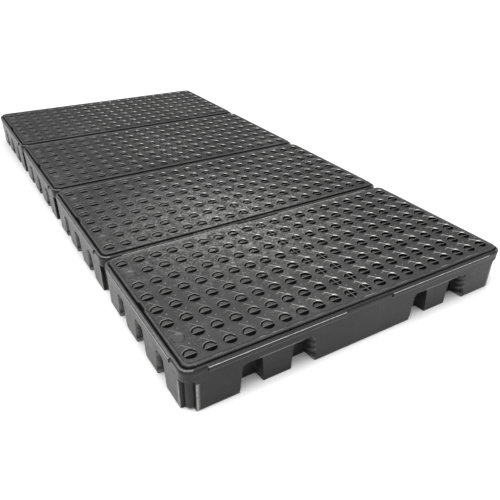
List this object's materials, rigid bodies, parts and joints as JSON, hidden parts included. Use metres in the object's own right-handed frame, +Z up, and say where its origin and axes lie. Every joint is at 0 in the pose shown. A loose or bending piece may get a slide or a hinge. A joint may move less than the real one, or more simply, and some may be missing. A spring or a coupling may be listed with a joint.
{
  "type": "spill containment pallet",
  "caption": "Low-profile modular spill containment pallet: sump trays side by side, each with a lift-out perforated deck.",
  "frame": {"origin": "centre of the footprint, on the floor", "axes": "+Z up, +Y across the row of modules, +X along a module's long side"},
  "size_m": [1.308, 2.666, 0.165],
  "materials": {
    "tray": "semi-matte black moulded polyethylene, dusty",
    "deck": "semi-matte black moulded polyethylene, scuffed and dusty on top"
  },
  "bodies": {
    "base": {"tray_1": "tray", "tray_2": "tray", "tray_3": "tray", "tray_4": "tray"},
    "lift_deck_1": {"deck_1": "deck"},
    "lift_deck_2": {"deck_2": "deck"},
    "lift_deck_3": {"deck_3": "deck"},
    "lift_deck_4": {"deck_4": "deck"}
  },
  "joints": [
    {"name": "deck_1_lift", "type": "slide", "parent": "base", "child": "lift_deck_1", "axis": [0, 0, 1], "range_m": [0, 0.15]},
    {"name": "deck_2_lift", "type": "slide", "parent": "base", "child": "lift_deck_2", "axis": [0, 0, 1], "range_m": [0, 0.15]},
    {"name": "deck_3_lift", "type": "slide", "parent": "base", "child": "lift_deck_3", "axis": [0, 0, 1], "range_m": [0, 0.15]},
    {"name": "deck_4_lift", "type": "slide", "parent": "base", "child": "lift_deck_4", "axis": [0, 0, 1], "range_m": [0, 0.15]}
  ]
}
